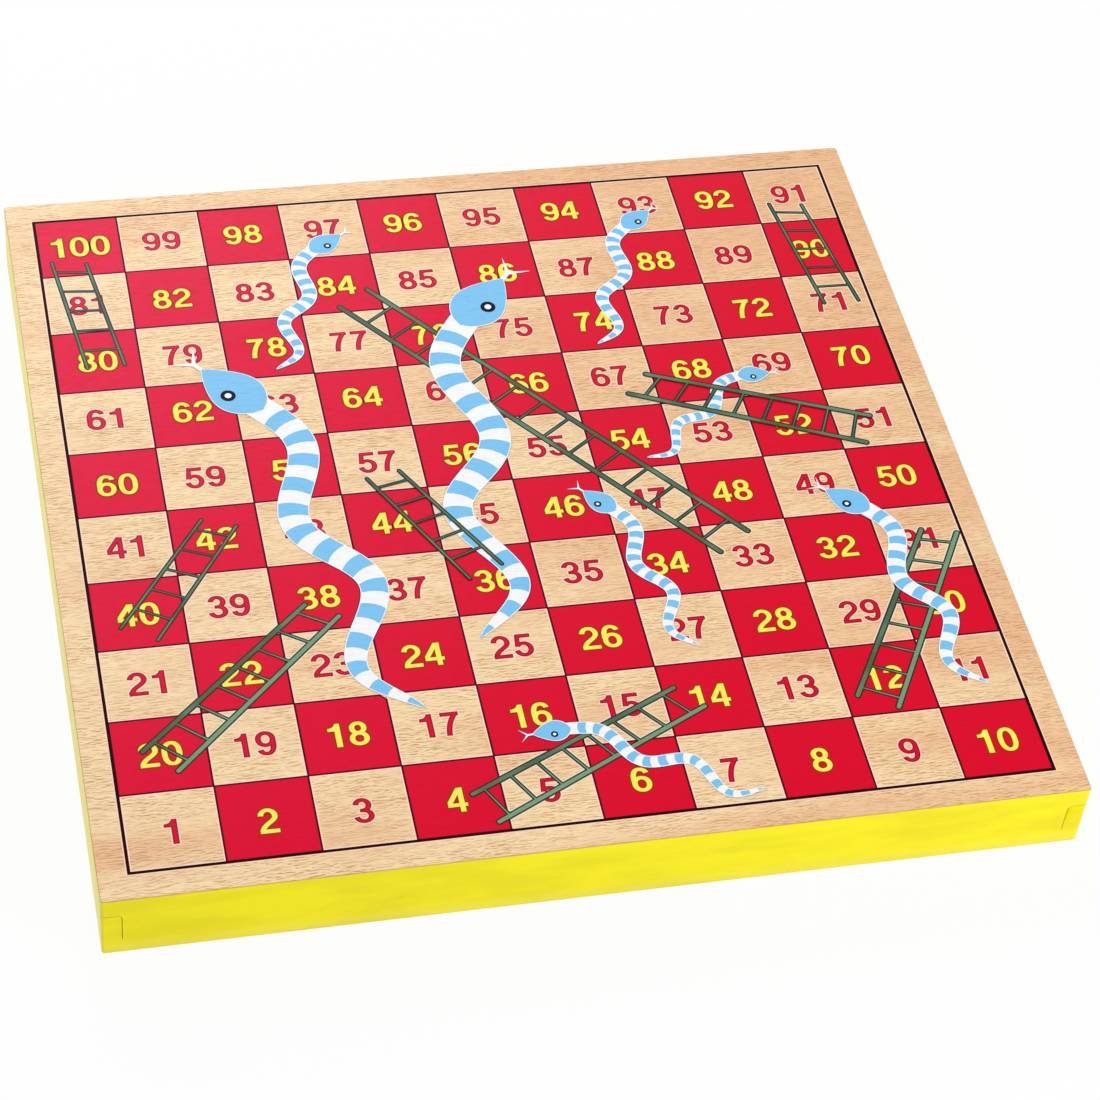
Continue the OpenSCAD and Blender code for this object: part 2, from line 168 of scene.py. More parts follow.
def blobs(tree, point, sizes, detail=2.0, roughness=0.5):
    """Smooth noise whose blobs measure about so many millimetres along X, Y and Z."""
    scaled = add(tree, "ShaderNodeVectorMath", {0: point, 1: [1 / s for s in sizes]}, operation="MULTIPLY")
    settings = {"Vector": scaled.outputs[0], "Scale": 1.0, "Detail": detail, "Roughness": roughness}
    return add(tree, "ShaderNodeTexNoise", settings).outputs[0]


print("middle grey in linear form:", round(linear("#808080")[0], 3))


# %% [markdown]
# ## The figure of beech
# Sliced beech is pale and even. What tells it from other woods are its flecks: short, thin, brown dashes,
# a few millimetres long, which follow the grain and waver with it. Gabor noise suits them, because it is
# made of small packets of waves: here the crests lie along the grain. Fibres, too fine to count, are
# added to the waves, and what rises above a level is a dash with ragged ends. Patches without dashes and
# a tone that drifts slowly over several centimetres make it look grown. A node group makes these patterns
# once, and every wood, and every ink that lies on wood, reads them from the same place in space, so that
# the relief under the ink matches the wood beside it.

# %% Beech figure
# Size of a packet of waves, and the distance from crest to crest, in millimetres
DASH_LONG = 1.7
DASH_PITCH = 1.1
# How far the grain wavers to the side, in millimetres
WAVER = 1.2
# Part that the fibres take in a dash
FIBRE_SHARE = 1.1


def beech_figure():
    """A node group: a point in millimetres, grain along X, gives fleck, fibre and tone."""
    tree = bpy.data.node_groups.new("beech_figure", "ShaderNodeTree")
    tree.interface.new_socket("Point", in_out="INPUT", socket_type="NodeSocketVector")
    for name in ("Fleck", "Fibre", "Tone"):
        tree.interface.new_socket(name, in_out="OUTPUT", socket_type="NodeSocketFloat")
    source = add(tree, "NodeGroupInput").outputs[0]
    unrest = blobs(tree, source, (4.5, 2.2, 2.2))
    waver = put(tree, "multiply", unrest, WAVER)
    sway = add(tree, "ShaderNodeCombineXYZ", {"Y": waver}).outputs[0]
    point = add(tree, "ShaderNodeVectorMath", {0: source, 1: sway}, operation="ADD").outputs[0]
    parts = put(tree, "split", point)
    height = put(tree, "add", parts[1], parts[2])
    flat = add(tree, "ShaderNodeCombineXYZ", {"X": parts[0], "Y": height}).outputs[0]
    settings = {
        "Vector": flat,
        "Scale": 1 / DASH_LONG,
        "Frequency": DASH_LONG / DASH_PITCH,
        "Orientation": math.pi / 2,
    }
    wave = add(tree, "ShaderNodeTexGabor", settings).outputs[0]
    fibre = blobs(tree, point, (4, 0.27, 0.27), 2.0, 0.6)
    ragged = put(tree, "multiply_add", fibre, FIBRE_SHARE, wave)
    dashes = put(tree, "rise", ragged, 1.02, 1.3)
    patches = put(tree, "rise", blobs(tree, source, (28, 12, 12), 1.0), 0.35, 0.62, 0.4, 1.0)
    fleck = put(tree, "multiply", dashes, patches)
    tone = blobs(tree, source, (90, 16, 16), 2.0)
    add(tree, "NodeGroupOutput", {"Fleck": fleck, "Fibre": fibre, "Tone": tone})
    return tree


FIGURE = beech_figure()


def figure(tree, point):
    """Adds the figure to a material."""
    group = add(tree, "ShaderNodeGroup", node_tree=FIGURE)
    tree.links.new(point, group.inputs[0])
    return group.outputs


print("figure outputs:", [s.name for s in FIGURE.interface.items_tree if s.in_out == "OUTPUT"])

# %% [markdown]
# ## The woods
# Three woods show. The board is beech veneer under a thin satin lacquer: smooth, with a soft sheen, pale
# honey to the eye, and a little warmer towards the back right. The rib, the divider and the unpainted
# faces of the rails are the same beech, sanded and bare, so they are drier and duller. The lid is thin
# birch plywood, whose edge shows its three plies.

# %% Wood materials
# The direction in which the tone gets warmer, and from where to where along it, in millimetres
WARM_SIDE = (1.0, 0.45, 0.0)
WARM_SPAN = (-70, 220)


def wood(name, light, warm, dash, contrast, gloss, grain="X"):
    """Beech: two tones that drift into each other, with flecks and fibres."""
    material, tree, shader, point = new_material(name)
    if grain == "Y":
        parts = put(tree, "split", point)
        turned = {"X": parts[1], "Y": parts[0], "Z": parts[2]}
        point = add(tree, "ShaderNodeCombineXYZ", turned).outputs[0]
    fleck, fibre, tone = figure(tree, point)
    along = {0: point, 1: WARM_SIDE}
    to_corner = add(tree, "ShaderNodeVectorMath", along, operation="DOT_PRODUCT").outputs["Value"]
    warmer = put(tree, "rise", to_corner, *WARM_SPAN, -0.08, 0.28)
    drift = put(tree, "add", tone, warmer)
    colour = put(tree, "blend", put(tree, "rise", drift, 0.3, 0.8), light, warm)
    streak = put(tree, "rise", fibre, 0.4, 0.7, 0.0, 0.35 * contrast)
    colour = put(tree, "blend", streak, colour, dash)
    dashes = put(tree, "multiply", fleck, contrast)
    colour = put(tree, "blend", dashes, colour, dash)
    tree.links.new(colour, shader.inputs["Base Color"])
    rough = put(tree, "rise", fibre, 0.3, 0.7, gloss - 0.05, gloss + 0.08)
    tree.links.new(rough, shader.inputs["Roughness"])
    shader.inputs["Specular IOR Level"].default_value = 0.35
    tree.links.new(put(tree, "relief", fibre, 0.02 * MM), shader.inputs["Normal"])
    return material


BEECH_VENEER = wood("beech_veneer_lacquered", "#FBDFB0", "#F0C093", "#C0844C", 0.8, 0.42)
BARE_BEECH = wood("beech_sanded", "#EBCFA6", "#DDB98A", "#B98852", 0.5, 0.65)
BARE_BEECH_ALONG_Y = wood("beech_sanded_along_y", "#EBCFA6", "#DDB98A", "#B98852", 0.5, 0.65, "Y")
BIRCH_PLY = wood("birch_plywood", "#EBD5AE", "#DFC294", "#C49C66", 0.3, 0.6, "Y")
print("woods:", [m.name for m in (BEECH_VENEER, BARE_BEECH, BARE_BEECH_ALONG_Y, BIRCH_PLY)])

# %% [markdown]
# ## The paint
# The rails are sprayed with a satin enamel, straight onto the sanded beech. Enamel flows out flat, but
# not quite: a weak ripple of a few millimetres stays, and the wood's fibres print through it. The colour
# is a clear lemon yellow, a trace duller where the coat is thin.

# %% Yellow enamel
def enamel():
    """Yellow paint with a weak ripple, a slow cloud in its colour, and fibres that print through."""
    material, tree, shader, point = new_material("yellow_satin_enamel")
    ripple = blobs(tree, point, (3.5, 3.5, 3.5), 2.0)
    cloud = blobs(tree, point, (34, 34, 9), 3.0)
    fibre = blobs(tree, point, (6, 6, 0.5), 2.0)
    colour = put(tree, "blend", put(tree, "rise", cloud, 0.35, 0.7), "#F9EC00", "#EDDF02")
    colour = put(tree, "blend", put(tree, "rise", fibre, 0.5, 0.8, 0.0, 0.2), colour, "#DECB08")
    tree.links.new(colour, shader.inputs["Base Color"])
    shader.inputs["Roughness"].default_value = 0.32
    shader.inputs["Specular Tint"].default_value = (1.0, 0.9, 0.05, 1.0)
    relief = put(tree, "add", fibre, ripple)
    tree.links.new(put(tree, "relief", relief, 0.03 * MM), shader.inputs["Normal"])
    return material


YELLOW_ENAMEL = enamel()
print("paint:", YELLOW_ENAMEL.name)

# %% [markdown]
# ## The inks
# The chart is screen printed: each colour is an even film, a few hundredths of a millimetre thick, that
# dries satin and lets the relief of the wood show in its sheen. Most inks differ in colour and sheen
# alone, so one function makes them, and the red is darker right beside a line. The green is a little
# translucent and its coat is uneven: over red it turns browner, which a check of the square's place
# tells. The ladders' green also has darker edges and three lighter rails, which their mesh marks with
# attributes. The black looks maroon between squares, where it lies over red.

# %% Ink materials
# The chart in millimetres, from the solids' own width and the bare margin round the chart
SQUARES = 10
MARGIN = 9.5
HALF = round(cad_high.x / MM, 3)
HALF_GRID = HALF - MARGIN
SQUARE = 2 * HALF_GRID / SQUARES
LINE_HALF = 0.25
# How far the red is darker beside a line, and how far the border line reaches into the chart
SHADE_WIDE = 0.35
BORDER_IN = 0.3


def near_a_line(tree, point):
    """1 beside a line between squares, 0 a third of a millimetre away from it."""
    away = []
    for coordinate in put(tree, "split", point)[:2]:
        from_corner = put(tree, "add", coordinate, HALF_GRID)
        away.append(put(tree, "pingpong", from_corner, SQUARE / 2))
    nearest = put(tree, "minimum", away[0], away[1])
    return put(tree, "rise", nearest, LINE_HALF, LINE_HALF + SHADE_WIDE, 1.0, 0.0)


def ink(name, colour, sheen=0.2, tint=(1.0, 1.0, 1.0), at_lines=None):
    """A film of ink over beech. Its sheen takes a tint where the ink's own oil carries colour."""
    material, tree, shader, point = new_material(name)
    fibre = figure(tree, point)["Fibre"]
    thin = put(tree, "rise", fibre, 0.45, 0.75, 0.0, 0.8)
    shade = put(tree, "blend", thin, colour, shaded(colour, 0.92))
    if at_lines:
        shade = put(tree, "blend", near_a_line(tree, point), shade, at_lines)
    tree.links.new(shade, shader.inputs["Base Color"])
    tree.links.new(put(tree, "rise", fibre, 0.3, 0.7, 0.34, 0.46), shader.inputs["Roughness"])
    shader.inputs["Specular IOR Level"].default_value = sheen
    shader.inputs["Specular Tint"].default_value = (*tint, 1.0)
    tree.links.new(put(tree, "relief", fibre, 0.03 * MM), shader.inputs["Normal"])
    return material


def ladder_ink():
    """Green ink, dark at the edge of a rail and light in its middle, browner over red."""
    material, tree, shader, point = new_material("green_ink")
    parts = put(tree, "split", point)
    steps = []
    for axis in (0, 1):
        from_corner = put(tree, "add", parts[axis], HALF_GRID)
        steps.append(put(tree, "floor", put(tree, "divide", from_corner, SQUARE)))
    total = put(tree, "add", steps[0], steps[1])
    on_red = put(tree, "floored_modulo", total, 2.0)
    middle = add(tree, "ShaderNodeAttribute", attribute_name="middle").outputs["Fac"]
    fleck, fibre, _ = figure(tree, point)
    core = put(tree, "rise", middle, 0.72, 1.0)
    speck = put(tree, "rise", fleck, 0.1, 0.7, 1.0, 0.78)
    rail = put(tree, "multiply", core, speck)
    coat = put(tree, "rise", blobs(tree, point, (16, 16, 16), 1.0), 0.4, 0.6, 0.0, 0.5)
    light = add(tree, "ShaderNodeAttribute", attribute_name="light").outputs["Fac"]
    tone = add(tree, "ShaderNodeMath", {0: coat, 1: light}, operation="ADD", use_clamp=True).outputs[0]
    over_wood = put(tree, "blend", rail, "#0C2408", put(tree, "blend", tone, "#4C6650", "#76A07E"))
    over_red = put(tree, "blend", rail, "#261A08", put(tree, "blend", tone, "#545E3E", "#769A76"))
    tree.links.new(put(tree, "blend", on_red, over_wood, over_red), shader.inputs["Base Color"])
    shader.inputs["Roughness"].default_value = 0.4
    shader.inputs["Specular IOR Level"].default_value = 0.15
    tree.links.new(put(tree, "relief", fibre, 0.03 * MM), shader.inputs["Normal"])
    return material


def line_ink():
    """Black ink. Between the squares its thin lines lie over red, so there they look maroon."""
    material, tree, shader, point = new_material("black_ink")
    away = add(tree, "ShaderNodeVectorMath", {0: point}, operation="ABSOLUTE").outputs[0]
    parts = put(tree, "split", away)
    far = put(tree, "maximum", parts[0], parts[1])
    on_border = put(tree, "greater_than", far, HALF_GRID - BORDER_IN)
    tree.links.new(put(tree, "blend", on_border, "#500204", "#280400"), shader.inputs["Base Color"])
    shader.inputs["Roughness"].default_value = 0.45
    shader.inputs["Specular IOR Level"].default_value = 0.05
    shader.inputs["Specular Tint"].default_value = (1.0, 0.2, 0.1, 1.0)
    return material


RED_INK = ink("red_ink", "#DC0018", 0.38, (1.0, 0.0, 0.5), "#780010")
BLACK_INK = line_ink()
NAVY_INK = ink("navy_black_ink", "#0A1326", 0.05)
GREEN_INK = ladder_ink()
WHITE_INK = ink("white_ink", "#FAFCFF")
BLUE_INK = ink("blue_ink", "#7CC6F4")
YELLOW_INK = ink("yellow_ink", "#F9F35C", 0.15)
CRIMSON_INK = ink("crimson_ink", "#A0061E", 0.2, (1.0, 0.3, 0.5))
WHITE_EDGE = ink("white_edge_ink", "#FFE2CC")
PINK_EDGE = ink("pink_edge_ink", "#FFDDC8")
BROWN_EDGE = ink("brown_edge_ink", "#AE2600", 0.1)
MAROON_EDGE = ink("maroon_edge_ink", "#4A0620", 0.1)
print("inks:", len([m for m in bpy.data.materials if m.name.endswith("_ink")]))

# %% [markdown]
# ## Lacquer for the pawns and the die
# Turned pawns and dice are tumbled in lacquer, so they are glossy and a little uneven. The die's pips are
# black.

# %% Lacquers
def lacquer(name, colour):
    """Glossy colour under a clear coat, with a slow cloud where it pooled."""
    material, tree, shader, point = new_material(name)
    cloud = blobs(tree, point, (5, 5, 5), 2.0)
    shade = put(tree, "blend", put(tree, "rise", cloud, 0.35, 0.75), colour, shaded(colour, 0.88))
    tree.links.new(shade, shader.inputs["Base Color"])
    shader.inputs["Roughness"].default_value = 0.18
    shader.inputs["Coat Weight"].default_value = 0.5
    shader.inputs["Coat Roughness"].default_value = 0.08
    ripple = blobs(tree, point, (1.6, 1.6, 1.6))
    tree.links.new(put(tree, "relief", ripple, 0.02 * MM), shader.inputs["Normal"])
    return material


LACQUERS = {
    "red": lacquer("red_lacquer", "#C8102E"),
    "blue": lacquer("blue_lacquer", "#1F4FA8"),
    "green": lacquer("green_lacquer", "#1E7F46"),
    "yellow": lacquer("yellow_lacquer", "#F2C315"),
    "ivory": lacquer("ivory_lacquer", "#F3EAD3"),
    "black": lacquer("black_lacquer", "#17161A"),
}
print("lacquers:", list(LACQUERS))

# %% [markdown]
# ## Clean copies of the solids
# A solid comes as loose triangles. To soften its edges, a copy is merged, its flat triangles are joined
# into whole faces, and only the edges that a hand would touch are bevelled: real timber has no razor
# edges there, but the joints between glued pieces stay sharp. The copy then stands for the solid.

# %% Copies with softened edges
# Corners closer than this, in metres, are one
TOUCHING = 1e-6
# Faces that meet at a smaller angle than the first are one. Edges are bevelled that bend more than the
# second, and stay sharp to the eye where they bend more than the third.
FLAT, BENT, SHARP = (math.radians(degrees) for degrees in (0.5, 30, 28))


def merged_copy(name):
    """A bmesh of a node with its doubles merged and its flat faces joined."""
    bm = bmesh.new()
    bm.from_mesh(nodes[name].data)
    bmesh.ops.remove_doubles(bm, verts=bm.verts, dist=TOUCHING)
    bmesh.ops.dissolve_limit(bm, angle_limit=FLAT, verts=bm.verts, edges=bm.edges)
    return bm


def soften(bm, touched, width_mm, segments=2):
    """Bevels the sharp edges for which touched(middle in mm) is true."""
    edges = [
        e
        for e in bm.edges
        if len(e.link_faces) == 2
        and e.calc_face_angle() > BENT
        and touched((e.verts[0].co + e.verts[1].co) / 2 / MM)
    ]
    bmesh.ops.bevel(bm, geom=edges, offset=width_mm * MM, segments=segments, profile=0.5, affect="EDGES")
    return len(edges)


def stand_for(name, bm, body, materials, choose=None):
    """Makes the piece that stands for a node. choose(face) gives the index of a face's material."""
    mesh = bpy.data.meshes.new(name + "_piece")
    for face in bm.faces:
        face.smooth = True
        face.material_index = choose(face) if choose else 0
    bm.to_mesh(mesh)
    bm.free()
    mesh.set_sharp_from_angle(angle=SHARP)
    for material in materials:
        mesh.materials.append(material)
    piece = bpy.data.objects.new(name + "_piece", mesh)
    bpy.context.scene.collection.objects.link(piece)
    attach(piece, body)
    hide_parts(name)
    return piece


def faces_out(face):
    """True for the walls and the underside, where a spot a millimetre in front lies outside the box."""
    spot = face.calc_center_median() / MM + face.normal
    return abs(spot.x) > HALF or abs(spot.y) > HALF or spot.z < 0


print("half the box in mm:", HALF)

# %% [markdown]
# ## The playing board
# The board is glued onto the rails, and then the walls are painted with it, so its edge is yellow and its
# top stays veneer. Sanding the top takes the paint off the very edge, which leaves a thin line of bare
# wood there.

# %% Playing board
BOX_TOP = round(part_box("playing_board")[1].z / MM, 3)
# An edge closer than this to a height or a wall, in millimetres, lies on it
NEAR = 0.1
board = merged_copy("playing_board")
count = soften(board, lambda p: p.z > BOX_TOP - NEAR, width_mm=0.25)


def board_finish(face):
    """Veneer on top, bare wood on the sanded edge, paint on the walls, and bare wood inside."""
    if face.normal.z > 0.95:
        return 0
    if face.normal.z > 0.2:
        return 2
    return 1 if faces_out(face) else 3


EDGE_BEECH = wood("beech_sanded_edge", "#DCB46C", "#CFA45E", "#A47A3E", 0.4, 0.55)
board_finishes = [BEECH_VENEER, YELLOW_ENAMEL, EDGE_BEECH, BARE_BEECH]
stand_for("playing_board", board, "box", board_finishes, board_finish)
print("board: softened", count, "edges")

# %% [markdown]
# ## The rails
# The rails meet in finger joints, and a hair of open joint shows round each finger. Paint covers what
# faces out, and the inside stays bare. Only the lowest edges are softened, where the box stands.

# %% Rails and pull strip
# Of a rail's lowest edges, only those within so many millimetres of the outside are softened
OUTER = 2


def rail_finish(face):
    """Paint outside and bare wood inside."""
    return 0 if faces_out(face) else 1


for name, inside in (
    ("front_rail", BARE_BEECH),
    ("back_rail", BARE_BEECH),
    ("left_rail", BARE_BEECH_ALONG_Y),
    ("right_rail", BARE_BEECH_ALONG_Y),
):
    rail = merged_copy(name)
    count = soften(rail, lambda p: p.z < NEAR and max(abs(p.x), abs(p.y)) > HALF - OUTER, width_mm=0.5)
    stand_for(name, rail, "box", [YELLOW_ENAMEL, inside], rail_finish)
    print(name, "softened", count, "edges")

strip = merged_copy("lid_pull_strip")
soften(strip, lambda p: p.y > HALF - NEAR and p.z < 1, width_mm=0.4)
stand_for("lid_pull_strip", strip, "lid", [YELLOW_ENAMEL, BARE_BEECH], rail_finish)

# %% [markdown]
# ## The lid, the rib and the divider
# These are plain timber. The lid's rim is sanded round, and so are the lower edges of the rib and the
# divider.

# %% Lid and ribs
LID_LOW, LID_TOP = (corner.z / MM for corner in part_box("base_lid"))
RIB_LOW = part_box("centre_rib")[0].z / MM
# The outer plies' edge, counted from the middle of the lid's thickness, in millimetres
CORE_HALF = 0.72


def is_edge_ply(face):
    """Plies show on upright faces."""
    return 1 if abs(face.normal.z) < 0.3 else 0


def ply_edge():
    """The lid's edge: pale outer plies and a darker core between two glue lines."""
    material, tree, shader, point = new_material("plywood_edge")
    height = put(tree, "split", point)[2]
    middle = (LID_LOW + LID_TOP) / 2
    away = put(tree, "subtract", height, middle)
    away = put(tree, "absolute", away)
    core = put(tree, "rise", away, CORE_HALF, CORE_HALF + 0.08, 1.0, 0.0)
    inner = put(tree, "rise", away, CORE_HALF - 0.02, CORE_HALF + 0.04)
    outer = put(tree, "rise", away, CORE_HALF + 0.08, CORE_HALF + 0.14, 1.0, 0.0)
    glue = put(tree, "multiply", inner, outer)
    pores = blobs(tree, point, (0.5, 0.5, 0.25), 2.0)
    end_grain = put(tree, "blend", put(tree, "rise", pores, 0.4, 0.7), "#CDA878", "#A67F50")
    colour = put(tree, "blend", core, "#E3C795", end_grain)
    colour = put(tree, "blend", glue, colour, "#7A5632")
    tree.links.new(colour, shader.inputs["Base Color"])
    shader.inputs["Roughness"].default_value = 0.7
    tree.links.new(put(tree, "relief", pores, 0.03 * MM), shader.inputs["Normal"])
    return material


lid = merged_copy("base_lid")
count = soften(lid, lambda p: p.z < LID_TOP + NEAR and max(abs(p.x), abs(p.y)) > HALF_GRID, width_mm=0.3)
stand_for("base_lid", lid, "lid", [BIRCH_PLY, ply_edge()], is_edge_ply)
for name, timber in (("centre_rib", BARE_BEECH_ALONG_Y), ("bin_divider", BARE_BEECH)):
    rib = merged_copy(name)
    soften(rib, lambda p: p.z < RIB_LOW + NEAR, width_mm=0.3)
    stand_for(name, rib, "box", [timber])
print("lid: softened", count, "edges")

# %% [markdown]
# ## The pawns and the die
# A lathe leaves the pawn's foot with a small round, and the die's flats run softly into its round
# corners. The faces inside the die's pips are found by their place: they lie deeper than any flat.

# %% Pawns and die
for colour in ("red", "blue", "green", "yellow"):
    pawn = merged_copy("pawn_" + colour)
    soften(pawn, lambda p: True, width_mm=0.35, segments=3)
    stand_for("pawn_" + colour, pawn, "box", [LACQUERS[colour]])

die_low, die_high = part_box("die")
die_centre = (die_low + die_high) / 2
die_half = (die_high - die_low).x / 2
# A pip's face lies so much deeper than a flat, and nearer the middle than a round corner, whose distance
# is a share of half the side
PIP_DEEP = 0.05 * MM
CORNER_SHARE = 1.38


def die_finish(face):
    """Black in the pips."""
    spot = face.calc_center_median() - die_centre
    deep = max(abs(v) for v in spot) < die_half - PIP_DEEP
    return 1 if deep and spot.length < die_half * CORNER_SHARE else 0


die_lacquers = [LACQUERS["ivory"], LACQUERS["black"]]
stand_for("die", merged_copy("die"), "box", die_lacquers, die_finish)
print("die: side", round(2 * die_half / MM, 2), "mm")

# %% [markdown]
# ## Plain ink on the printed solids
# The red squares, the lines and the snakes are printed films whose solids are right as they are, so they
# only take their ink.

# %% Inks on the printed films
for name, film in (
    ("printed_red_squares", RED_INK),
    ("printed_grid_lines", BLACK_INK),
    ("printed_snake_bodies", WHITE_INK),
    ("printed_snake_bands", BLUE_INK),
    ("printed_snake_eyes", NAVY_INK),
):
    for slot in nodes[name].material_slots:
        slot.material = film
    print(name, "in", film.name)

# %% [markdown]
# ## Flat shapes
# The ink that is still missing is drawn as flat shapes. Shapes that overlap are joined with a constrained
# triangulation: it cuts all of them into triangles that don't overlap and says which shapes each came
# from. The triangles then get a thickness, with a wall wherever an edge has a triangle on one side only.

# %% Join flat shapes and give them a thickness
# What asks the triangulation for every triangle inside the hull
WHOLE_HULL = 0
# Corners closer than this are one, in the first cut and in the finer second
FIRST_MERGE, SECOND_MERGE = 1e-7, 1e-9


def triangulate(shapes):
    """Cuts overlapping convex shapes into triangles. Gives points, triangles and what each came from."""
    points, faces = [], []
    for shape in shapes:
        area = sum(a[0] * b[1] - a[1] * b[0] for a, b in zip(shape, shape[1:] + shape[:1]))
        ring = shape if area > 0 else shape[::-1]
        faces.append(list(range(len(points), len(points) + len(ring))))
        points += [Vector(p) for p in ring]
    flat, _, triangles, _, _, sources = delaunay_2d_cdt(points, [], faces, WHOLE_HULL, FIRST_MERGE)
    return flat, triangles, sources


def boundary(triangles):
    """The edges that have a triangle on one side only, with that triangle on their left."""
    edges = {(t[i], t[(i + 1) % 3]) for t in triangles for i in range(3)}
    return [(a, b) for a, b in edges if (b, a) not in edges]


def simplified(points, triangles):
    """The same area with as few triangles as its outline needs."""
    rim = boundary(triangles)
    used = sorted({v for edge in rim for v in edge})
    place = {v: i for i, v in enumerate(used)}
    edges = [(place[a], place[b]) for a, b in rim]
    spots = [points[v] for v in used]
    flat, _, fresh, _, _, _ = delaunay_2d_cdt(spots, edges, [], WHOLE_HULL, SECOND_MERGE)
    starts = np.array([points[a] for a, _ in rim])
    ends = np.array([points[b] for _, b in rim])
    kept = []
    for triangle in fresh:
        x, y = sum((flat[v] for v in triangle), Vector((0, 0))) / 3
        crosses = (starts[:, 1] > y) != (ends[:, 1] > y)
        a, b = starts[crosses], ends[crosses]
        at = a[:, 0] + (y - a[:, 1]) / (b[:, 1] - a[:, 1]) * (b[:, 0] - a[:, 0])
        if np.count_nonzero(at > x) % 2:
            kept.append(triangle)
    return flat, kept


def film_mesh(name, points, triangles, low, high):
    """A closed film of ink from height low to height high, all in millimetres."""
    count = len(points)
    vertices = [(p[0] * MM, p[1] * MM, z * MM) for z in (high, low) for p in points]
    faces = [tuple(t) for t in triangles]
    faces += [tuple(v + count for v in reversed(t)) for t in triangles]
    faces += [(a, a + count, b + count, b) for a, b in boundary(triangles)]
    mesh = bpy.data.meshes.new(name)
    mesh.from_pydata(vertices, [], faces)
    return mesh


def add_film(name, mesh, material, standing_for=()):
    """Adds a film of ink that rides on the box."""
    mesh.materials.clear()
    mesh.materials.append(material)
    piece = bpy.data.objects.new(name, mesh)
    bpy.context.scene.collection.objects.link(piece)
    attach(piece, "box")
    if standing_for:
        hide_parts(*standing_for)
    return piece


square = [(0, 0), (2, 0), (2, 2), (0, 2)]
print("two squares on each other make", len(triangulate([square, square])[1]), "triangles")

# %% [markdown]
# ## The digits
# The numbers are drawn as a sign painter would: each digit is a path of arcs and lines, followed by a
# broad pen that is wider across than it is high, so that upright strokes are heavier than level ones. All
# sizes are shares of the digit's height. A stroke becomes a chain of small four-sided shapes, which the
# triangulation joins.

# %% Pen strokes
PEN_ACROSS, PEN_UP = 0.092, 0.072


def arc(centre, radii, start, stop, power=2.0, steps_per_turn=44):
    """Points along an ellipse from one angle to another. A higher power makes it squarer."""
    steps = max(2, round(abs(stop - start) / 360 * steps_per_turn))
    points = []
    for i in range(steps + 1):
        angle = math.radians(start + (stop - start) * i / steps)
        c, s = math.cos(angle), math.sin(angle)
        x = math.copysign(abs(c) ** (2 / power), c)
        y = math.copysign(abs(s) ** (2 / power), s)
        points.append((centre[0] + radii[0] * x, centre[1] + radii[1] * y))
    return points


def curve(p0, p1, p2, p3, steps=9):
    """Points along a cubic curve between p0 and p3."""
    points = []
    for i in range(steps + 1):
        t = i / steps
        weights = ((1 - t) ** 3, 3 * t * (1 - t) ** 2, 3 * t * t * (1 - t), t**3)
        points.append(tuple(sum(w * p[k] for w, p in zip(weights, (p0, p1, p2, p3))) for k in (0, 1)))
    return points


def trimmed(path, length):
    """The path with so much cut off its start, or added to it where the length is below zero."""
    while (path[1] - path[0]).length < length:
        length -= (path[1] - path[0]).length
        path = path[1:]
    return [path[0] + (path[1] - path[0]).normalized() * length] + path[1:]


def stroke(path, grow, closed=False, pen=(PEN_ACROSS, PEN_UP)):
    """The four-sided shapes that the pen covers along a path. The pen is wider by grow all round."""
    path = [Vector(p) for p in path]
    if closed:
        path = path[:-1]
    else:
        path = trimmed(trimmed(path, -grow)[::-1], -grow)[::-1]
    count = len(path)
    edges = []
    for i, p in enumerate(path):
        before = path[i - 1] if closed or i > 0 else p
        after = path[(i + 1) % count] if closed or i < count - 1 else p
        along = (after - before).normalized()
        side = Vector((-along.y * (pen[0] + grow), along.x * (pen[1] + grow)))
        edges.append((p + side, p - side))
    pairs = zip(edges, edges[1:] + edges[:1]) if closed else zip(edges, edges[1:])
    return [[tuple(p) for p in (a[0], a[1], b[1], b[0])] for a, b in pairs]


print("a ring is a chain of", len(stroke(arc((0, 0), (1, 1), 0, 360), 0, closed=True)), "shapes")


# %% [markdown]
# A digit's straight parts, such as the foot of the 2, are bars: strokes with a square pen of their own.
# Parts with corners, such as the flag of the 1, are drawn by their outline. The 9 is the 6 turned round.

# %% The ten digits
def bar(start, stop, half, grow):
    """A straight stroke, whose square pen measures half to each side."""
    return stroke([start, stop], grow, pen=(half, half))


def outline(corners, grow):
    """An outline, given anticlockwise, moved outwards by grow."""
    spots = [Vector(c) for c in corners]
    moved = []
    for before, here, after in zip(spots[-1:] + spots[:-1], spots, spots[1:] + spots[:1]):
        one, two = (here - before).normalized(), (after - here).normalized()
        lean = Vector((one.y + two.y, -one.x - two.x))
        # The larger of the two holds back the tip of a sharp corner
        moved.append(tuple(here + lean * (grow / max(0.4, 1 + one.dot(two)))))
    return [moved]


